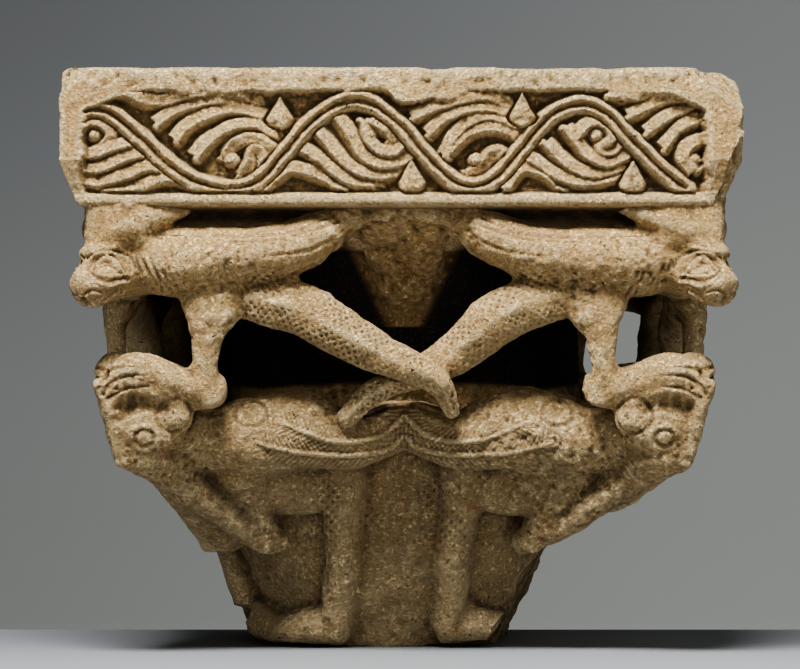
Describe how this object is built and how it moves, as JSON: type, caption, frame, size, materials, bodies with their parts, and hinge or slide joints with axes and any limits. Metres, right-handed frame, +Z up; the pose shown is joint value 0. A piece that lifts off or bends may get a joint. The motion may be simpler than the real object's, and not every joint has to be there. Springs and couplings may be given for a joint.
{
  "type": "carved stone capital",
  "caption": "Carved limestone capital: square slab with vine scroll, winged dragons standing on lions around a tapering bell.",
  "frame": {"origin": "centre of the lower bed, where the capital sits on its shaft", "axes": "+Z up, the better kept face towards -Y, X along that face"},
  "size_m": [0.354, 0.354, 0.308],
  "materials": {
    "limestone": "rough weathered limestone"
  },
  "bodies": {
    "root": {"capital": "limestone"}
  },
  "joints": []
}
